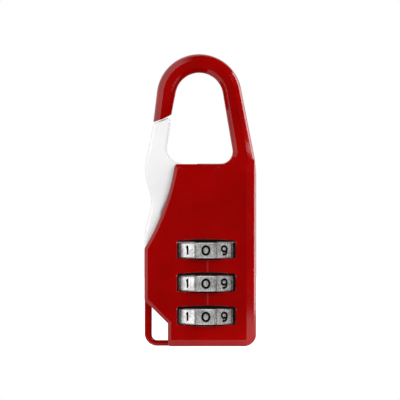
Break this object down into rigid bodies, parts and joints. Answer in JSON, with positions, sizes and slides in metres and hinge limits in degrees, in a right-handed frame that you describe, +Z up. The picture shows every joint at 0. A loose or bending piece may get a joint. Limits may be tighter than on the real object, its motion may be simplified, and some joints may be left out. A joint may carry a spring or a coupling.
{
  "type": "luggage combination padlock",
  "caption": "Slim hook-shaped combination padlock with a sprung swinging gate, number dials that show front and back, and a lanyard eye at its lower corner.",
  "frame": {"origin": "middle of the bounding box at the flat bottom face, halfway between the front and back dials", "axes": "+X to the right seen from the front, with the gate on the left; +Y from the front face to the rear cover; +Z up from the flat bottom to the crown of the hook"},
  "size_m": [0.0306, 0.017, 0.08],
  "materials": {
    "red_paint": "deep red gloss lacquer on zinc casting",
    "white_paint": "white gloss lacquer on zinc casting",
    "dial_chrome": "satin chrome plating, black filled numerals",
    "black_plastic": "black moulded plastic",
    "brass": "turned brass",
    "spring_steel": "bright steel"
  },
  "bodies": {
    "casing": {"main_case": "red_paint", "rear_cover": "red_paint", "case_screws": "spring_steel", "dial_carrier": "black_plastic", "guide_bush": "brass", "gate_pin": "spring_steel", "gate_washers": "spring_steel", "detent_comb": "spring_steel", "detent_rivets": "brass", "bolt_spring": "spring_steel", "reset_spring": "spring_steel"},
    "gate": {"gate": "white_paint"},
    "bolt": {"locking_bolt": "brass", "bolt_shoe": "spring_steel"},
    "reset": {"reset_button": "black_plastic", "spring_washer": "spring_steel"},
    "dial_top": {"dial_top": "dial_chrome"},
    "sleeve_top": {"sleeve_top": "brass"},
    "dial_middle": {"dial_middle": "dial_chrome"},
    "sleeve_middle": {"sleeve_middle": "brass"},
    "dial_bottom": {"dial_bottom": "dial_chrome"},
    "sleeve_bottom": {"sleeve_bottom": "brass"}
  },
  "joints": [
    {"name": "gate_swing", "type": "hinge", "parent": "casing", "child": "gate", "pos_m": [-0.0119, 0, 0.0286], "axis": [0, 1, 0], "range_deg": [0, 16], "stiffness_Nm_per_rad": 0.03, "springref_deg": -14.32},
    {"name": "bolt_drive", "type": "slide", "parent": "casing", "child": "bolt", "axis": [0, 0, -1], "range_m": [0, 0.00302], "deforming": ["bolt_spring"]},
    {"name": "reset_press", "type": "slide", "parent": "casing", "child": "reset", "axis": [0, 0, 1], "range_m": [0, 0.0012], "stiffness_N_per_m": 500, "springref_m": -0.0008, "deforming": ["reset_spring"]},
    {"name": "dial_top_spin", "type": "hinge", "parent": "casing", "child": "dial_top", "pos_m": [0.0015, 0, 0.02625], "axis": [0, 0, 1], "continuous": true},
    {"name": "sleeve_top_lift", "type": "slide", "parent": "dial_top", "child": "sleeve_top", "axis": [0, 0, 1], "range_m": [0, 0.0012]},
    {"name": "dial_middle_spin", "type": "hinge", "parent": "casing", "child": "dial_middle", "pos_m": [0.0015, 0, 0.0172], "axis": [0, 0, 1], "continuous": true},
    {"name": "sleeve_middle_lift", "type": "slide", "parent": "dial_middle", "child": "sleeve_middle", "axis": [0, 0, 1], "range_m": [0, 0.0012]},
    {"name": "dial_bottom_spin", "type": "hinge", "parent": "casing", "child": "dial_bottom", "pos_m": [0.0015, 0, 0.00815], "axis": [0, 0, 1], "continuous": true},
    {"name": "sleeve_bottom_lift", "type": "slide", "parent": "dial_bottom", "child": "sleeve_bottom", "axis": [0, 0, 1], "range_m": [0, 0.0012]}
  ],
  "couplings": [
    {"joint": "bolt_drive", "follows": "gate_swing", "m_per_rad": 0.010791},
    {"joint": "sleeve_top_lift", "follows": "reset_press", "ratio": 1},
    {"joint": "sleeve_middle_lift", "follows": "reset_press", "ratio": 1},
    {"joint": "sleeve_bottom_lift", "follows": "reset_press", "ratio": 1}
  ]
}
